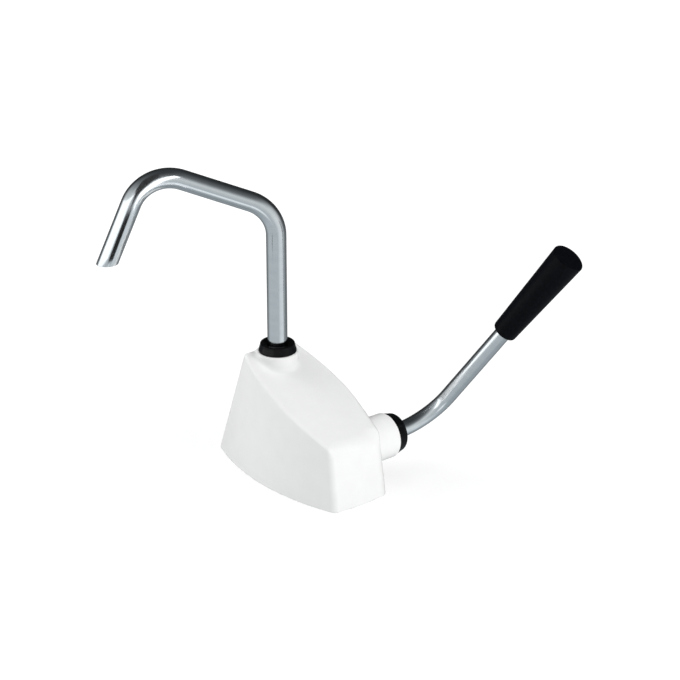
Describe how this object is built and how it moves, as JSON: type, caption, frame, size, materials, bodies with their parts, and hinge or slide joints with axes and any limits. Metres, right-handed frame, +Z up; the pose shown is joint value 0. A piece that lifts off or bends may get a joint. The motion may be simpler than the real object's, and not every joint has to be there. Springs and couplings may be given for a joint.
{
  "type": "galley hand pump",
  "caption": "Counter-top galley hand pump: sloping white housing, bent swivel spout and side lever that rocks a diaphragm to draw water.",
  "frame": {"origin": "middle of the four fixing holes, on the counter under the base", "axes": "+Z up from the counter, +X along the lever shaft towards the lever, +Y from the low front to the spout end"},
  "size_m": [0.2711, 0.2667, 0.2504],
  "materials": {
    "white_housing": "glossy moulded",
    "black_collar": "glossy",
    "black_grip": "satin",
    "polished_tube": "polished",
    "plain_steel": "plain",
    "brass": "turned",
    "rubber": "matt",
    "grey_plastic": "matt",
    "ivory_plastic": "matt",
    "arm_metal": "cast"
  },
  "bodies": {
    "pump": {"housing": "white_housing", "base_plate": "grey_plastic", "base_screws": "plain_steel", "mounting_inserts": "brass", "inlet_fitting": "brass", "pump_bowl": "grey_plastic", "bowl_screws": "plain_steel", "diaphragm": "rubber", "clamp_ring": "plain_steel", "clamp_ring_screws": "plain_steel", "shaft_bush_outer": "ivory_plastic", "shaft_bush_inner": "ivory_plastic", "lever_seal": "rubber", "lever_collar": "black_collar", "inlet_valve_cage": "ivory_plastic", "outlet_valve_cage": "ivory_plastic", "riser_pipe": "ivory_plastic", "riser_seals": "rubber", "spout_socket": "ivory_plastic", "spout_seals": "rubber", "spout_collar": "black_collar"},
    "lever": {"lever_rod": "polished_tube", "lever_grip": "black_grip", "rocker_arm": "arm_metal", "rocker_pin": "plain_steel", "upper_plate": "plain_steel", "lower_plate": "plain_steel", "diaphragm_bolt": "plain_steel", "diaphragm_nut": "plain_steel"},
    "spout": {"spout_tube": "polished_tube", "spout_retaining_ring": "plain_steel"},
    "inlet_valve": {"inlet_valve": "rubber"},
    "outlet_valve": {"outlet_valve": "rubber"}
  },
  "joints": [
    {"name": "lever_swing", "type": "hinge", "parent": "pump", "child": "lever", "pos_m": [0, -0.05, 0.036], "axis": [-1, 0, 0], "range_deg": [0, 25], "deforming": ["diaphragm"]},
    {"name": "spout_swivel", "type": "hinge", "parent": "pump", "child": "spout", "pos_m": [0, 0.0295, 0.1], "axis": [0, 0, 1], "continuous": true},
    {"name": "inlet_valve_lift", "type": "slide", "parent": "pump", "child": "inlet_valve", "axis": [0, 0, 1], "range_m": [0, 0.002]},
    {"name": "outlet_valve_lift", "type": "slide", "parent": "pump", "child": "outlet_valve", "axis": [0, 0, 1], "range_m": [0, 0.002]}
  ]
}
